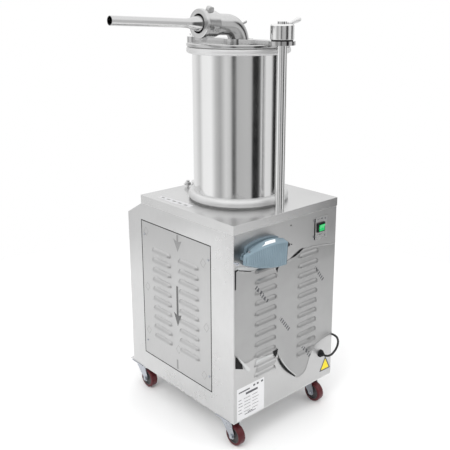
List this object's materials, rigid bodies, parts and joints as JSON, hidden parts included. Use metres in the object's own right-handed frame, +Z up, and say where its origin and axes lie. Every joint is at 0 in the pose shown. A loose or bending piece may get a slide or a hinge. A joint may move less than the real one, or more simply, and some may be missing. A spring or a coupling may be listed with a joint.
{
  "type": "sausage stuffer",
  "caption": "Floor-standing hydraulic sausage stuffer: upright steel barrel on a louvred cabinet with swivel casters, swing-away lid, elbow outlet, stuffing tube and knee switch.",
  "frame": {"origin": "on the floor under the centre of the machine's box, measured without the mains cord", "axes": "+Z up; +X to the operator's right; +Y from the operator towards the rear; the stuffing tube points towards -X"},
  "size_m": [0.8086, 0.5786, 1.2631],
  "materials": {
    "stainless": "brushed sheet, fine vertical grain",
    "polished_stainless": "bright polished, faint turning marks",
    "zinc_steel": "bluish zinc plating",
    "white_silicone": "matt white food-grade silicone",
    "blue_paint": "semi-gloss enamel",
    "grey_paint": "semi-gloss enamel",
    "pump_aluminium": "as cast and machined",
    "black_rubber": "matt black",
    "light_plastic": "light grey moulded",
    "black_plastic": "black moulded, fine grain",
    "casting_paint": "blue-grey enamel on a die casting",
    "green_plastic": "clear green, glossy",
    "maroon_polyurethane": "glossy dark red polyurethane"
  },
  "bodies": {
    "root": {"base_plate": "zinc_steel", "cabinet_shell": "stainless", "front_panel": "stainless", "service_door": "stainless", "cover_screws": "zinc_steel", "top_plate": "stainless", "barrel_shell": "polished_stainless", "barrel_rings": "polished_stainless", "lid_gasket": "white_silicone", "front_post": "polished_stainless", "rear_post": "polished_stainless", "cylinder_tube": "zinc_steel", "cylinder_gland": "zinc_steel", "cylinder_end_cap": "zinc_steel", "oil_tank": "blue_paint", "motor": "grey_paint", "pump": "pump_aluminium", "valve_block": "pump_aluminium", "hydraulic_hoses": "black_rubber", "control_box": "light_plastic", "switch_plate": "stainless", "switch_housing": "black_plastic", "knee_switch_base": "casting_paint", "knee_pivot_pin": "zinc_steel", "knee_spring": "zinc_steel", "knee_cable": "black_rubber", "cable_gland": "black_plastic", "mains_cord": "black_rubber", "cord_coil": "black_rubber", "mains_plug": "black_plastic", "caster_plates": "zinc_steel"},
    "lid": {"lid_plate": "polished_stainless", "lid_bar": "polished_stainless", "outlet_elbow": "polished_stainless", "bleed_plug": "polished_stainless"},
    "nozzle": {"nozzle": "polished_stainless"},
    "union_nut": {"union_nut": "polished_stainless"},
    "nut_washer": {"thrust_washer": "black_plastic"},
    "hand_nut": {"hand_nut": "polished_stainless", "nut_lever": "polished_stainless"},
    "piston": {"piston_rod": "polished_stainless", "piston_plate": "polished_stainless", "piston_seals": "white_silicone", "ram_head": "zinc_steel"},
    "motor_shaft": {"motor_shaft": "zinc_steel"},
    "knee_pedal": {"knee_pedal": "casting_paint"},
    "rocker": {"rocker": "green_plastic"},
    "regulator": {"regulator_knob": "polished_stainless"},
    "fork_front_left": {"fork_front_left": "zinc_steel", "axle_front_left": "zinc_steel"},
    "wheel_front_left": {"wheel_front_left": "maroon_polyurethane"},
    "fork_front_right": {"fork_front_right": "zinc_steel", "axle_front_right": "zinc_steel"},
    "wheel_front_right": {"wheel_front_right": "maroon_polyurethane"},
    "fork_rear_left": {"fork_rear_left": "zinc_steel", "axle_rear_left": "zinc_steel"},
    "wheel_rear_left": {"wheel_rear_left": "maroon_polyurethane"},
    "fork_rear_right": {"fork_rear_right": "zinc_steel", "axle_rear_right": "zinc_steel"},
    "wheel_rear_right": {"wheel_rear_right": "maroon_polyurethane"}
  },
  "joints": [
    {"name": "lid_swing", "type": "hinge", "parent": "root", "child": "lid", "pos_m": [0.11079, 0.17332, 1.155], "axis": [0, 0, 1], "range_deg": [-110, 0]},
    {"name": "nozzle_draw", "type": "slide", "parent": "lid", "child": "nozzle", "axis": [-0.9991, 0, 0.0419], "range_m": [0, 0.0092]},
    {"name": "union_turn", "type": "hinge", "parent": "nozzle", "child": "union_nut", "pos_m": [-0.01504, -0.02168, 1.21322], "axis": [-0.9991, 0, 0.0419], "range_deg": [0, 1080]},
    {"name": "nut_lift", "type": "slide", "parent": "root", "child": "nut_washer", "axis": [0, 0, 1], "range_m": [0, 0.0082]},
    {"name": "nut_turn", "type": "hinge", "parent": "nut_washer", "child": "hand_nut", "pos_m": [0.09879, -0.20968, 1.193], "axis": [0, 0, 1], "range_deg": [0, 720]},
    {"name": "piston_lift", "type": "slide", "parent": "root", "child": "piston", "axis": [0, 0, 1], "range_m": [0, 0.385]},
    {"name": "motor_spin", "type": "hinge", "parent": "root", "child": "motor_shaft", "pos_m": [0.11079, 0.15432, 0.378], "axis": [1, 0, 0], "continuous": true},
    {"name": "knee_press", "type": "hinge", "parent": "root", "child": "knee_pedal", "pos_m": [-0.07704, -0.26718, 0.59774], "axis": [0.0698, 0, 0.9976], "range_deg": [0, 5.5], "stiffness_Nm_per_rad": 4, "springref_deg": -5.73},
    {"name": "rocker_tilt", "type": "hinge", "parent": "root", "child": "rocker", "pos_m": [0.25379, -0.23868, 0.609], "axis": [1, 0, 0], "range_deg": [-14, 0]},
    {"name": "regulator_turn", "type": "hinge", "parent": "root", "child": "regulator", "pos_m": [0.06579, 0.17332, 0.7], "axis": [0, 0, 1], "range_deg": [0, 270]},
    {"name": "swivel_front_left", "type": "hinge", "parent": "root", "child": "fork_front_left", "pos_m": [-0.07621, -0.18668, 0.072], "axis": [0, 0, 1], "continuous": true},
    {"name": "roll_front_left", "type": "hinge", "parent": "fork_front_left", "child": "wheel_front_left", "pos_m": [-0.07621, -0.21368, 0.0315], "axis": [1, 0, 0], "continuous": true},
    {"name": "swivel_front_right", "type": "hinge", "parent": "root", "child": "fork_front_right", "pos_m": [0.27379, -0.18668, 0.072], "axis": [0, 0, 1], "continuous": true},
    {"name": "roll_front_right", "type": "hinge", "parent": "fork_front_right", "child": "wheel_front_right", "pos_m": [0.27379, -0.21368, 0.0315], "axis": [1, 0, 0], "continuous": true},
    {"name": "swivel_rear_left", "type": "hinge", "parent": "root", "child": "fork_rear_left", "pos_m": [-0.07621, 0.25032, 0.072], "axis": [0, 0, 1], "continuous": true},
    {"name": "roll_rear_left", "type": "hinge", "parent": "fork_rear_left", "child": "wheel_rear_left", "pos_m": [-0.07621, 0.22332, 0.0315], "axis": [1, 0, 0], "continuous": true},
    {"name": "swivel_rear_right", "type": "hinge", "parent": "root", "child": "fork_rear_right", "pos_m": [0.27379, 0.25032, 0.072], "axis": [0, 0, 1], "continuous": true},
    {"name": "roll_rear_right", "type": "hinge", "parent": "fork_rear_right", "child": "wheel_rear_right", "pos_m": [0.27379, 0.22332, 0.0315], "axis": [1, 0, 0], "continuous": true}
  ],
  "couplings": [
    {"joint": "nozzle_draw", "follows": "union_turn", "m_per_rad": 0.00047746},
    {"joint": "nut_lift", "follows": "nut_turn", "m_per_rad": 0.00063662}
  ]
}
